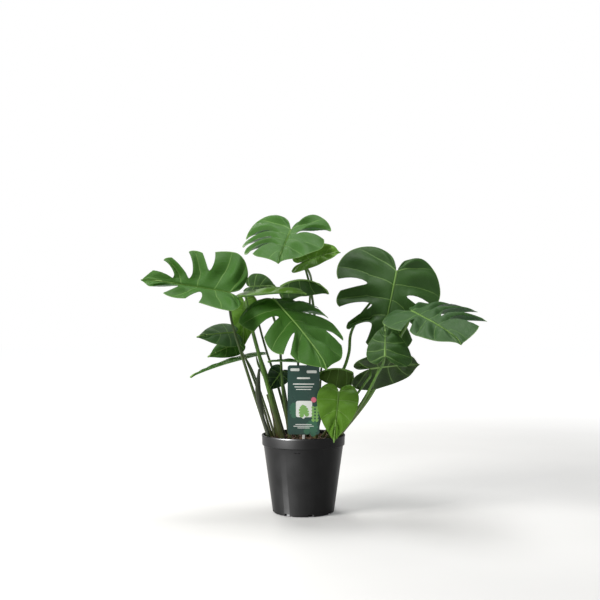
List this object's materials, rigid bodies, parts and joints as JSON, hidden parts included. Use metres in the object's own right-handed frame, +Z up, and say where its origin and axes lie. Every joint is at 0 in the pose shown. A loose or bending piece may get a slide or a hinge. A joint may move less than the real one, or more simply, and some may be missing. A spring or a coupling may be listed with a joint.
{
  "type": "potted monstera plant",
  "caption": "Split-leaved houseplant on long arching stalks in a round tapered nursery pot, with soil and an upright label card on a stake.",
  "frame": {"origin": "centre of the pot's base, on the floor plane", "axes": "+X towards the plant's right seen from the front, -Y towards the front where the label faces, +Z up"},
  "size_m": [0.6749, 0.3722, 0.6171],
  "materials": {
    "pot": "satin black injection-moulded plastic",
    "soil": "loose dark bark and peat potting mix",
    "leaf": "waxy green leaf, semi-gloss, paler veins",
    "petiole": "smooth green stalk, browner near the soil",
    "crown": "dry sheathed stem base, brown-green",
    "rolled_leaf": "dark rolled old leaf",
    "label": "printed dark green card with a soft sheen",
    "stake": "white moulded plastic strip"
  },
  "bodies": {
    "root": {"crown": "crown", "label_card": "label", "label_stake": "stake", "leaf_arch": "leaf", "leaf_back": "leaf", "leaf_band": "leaf", "leaf_bright": "leaf", "leaf_crest": "leaf", "leaf_dark": "leaf", "leaf_dome": "leaf", "leaf_far": "leaf", "leaf_front": "leaf", "leaf_glow": "leaf", "leaf_left": "leaf", "leaf_olive": "leaf", "leaf_right": "leaf", "leaf_shield": "leaf", "leaf_sill": "leaf", "leaf_silver": "leaf", "leaf_spear": "leaf", "leaf_top": "leaf", "leaf_under": "leaf", "petiole_arch": "petiole", "petiole_back": "petiole", "petiole_band": "petiole", "petiole_bright": "petiole", "petiole_crest": "petiole", "petiole_dark": "petiole", "petiole_dome": "petiole", "petiole_far": "petiole", "petiole_front": "petiole", "petiole_glow": "petiole", "petiole_left": "petiole", "petiole_olive": "petiole", "petiole_right": "petiole", "petiole_shield": "petiole", "petiole_sill": "petiole", "petiole_silver": "petiole", "petiole_spear": "petiole", "petiole_top": "petiole", "petiole_under": "petiole", "pot": "pot", "rolled_leaf": "rolled_leaf", "soil": "soil"}
  },
  "joints": []
}
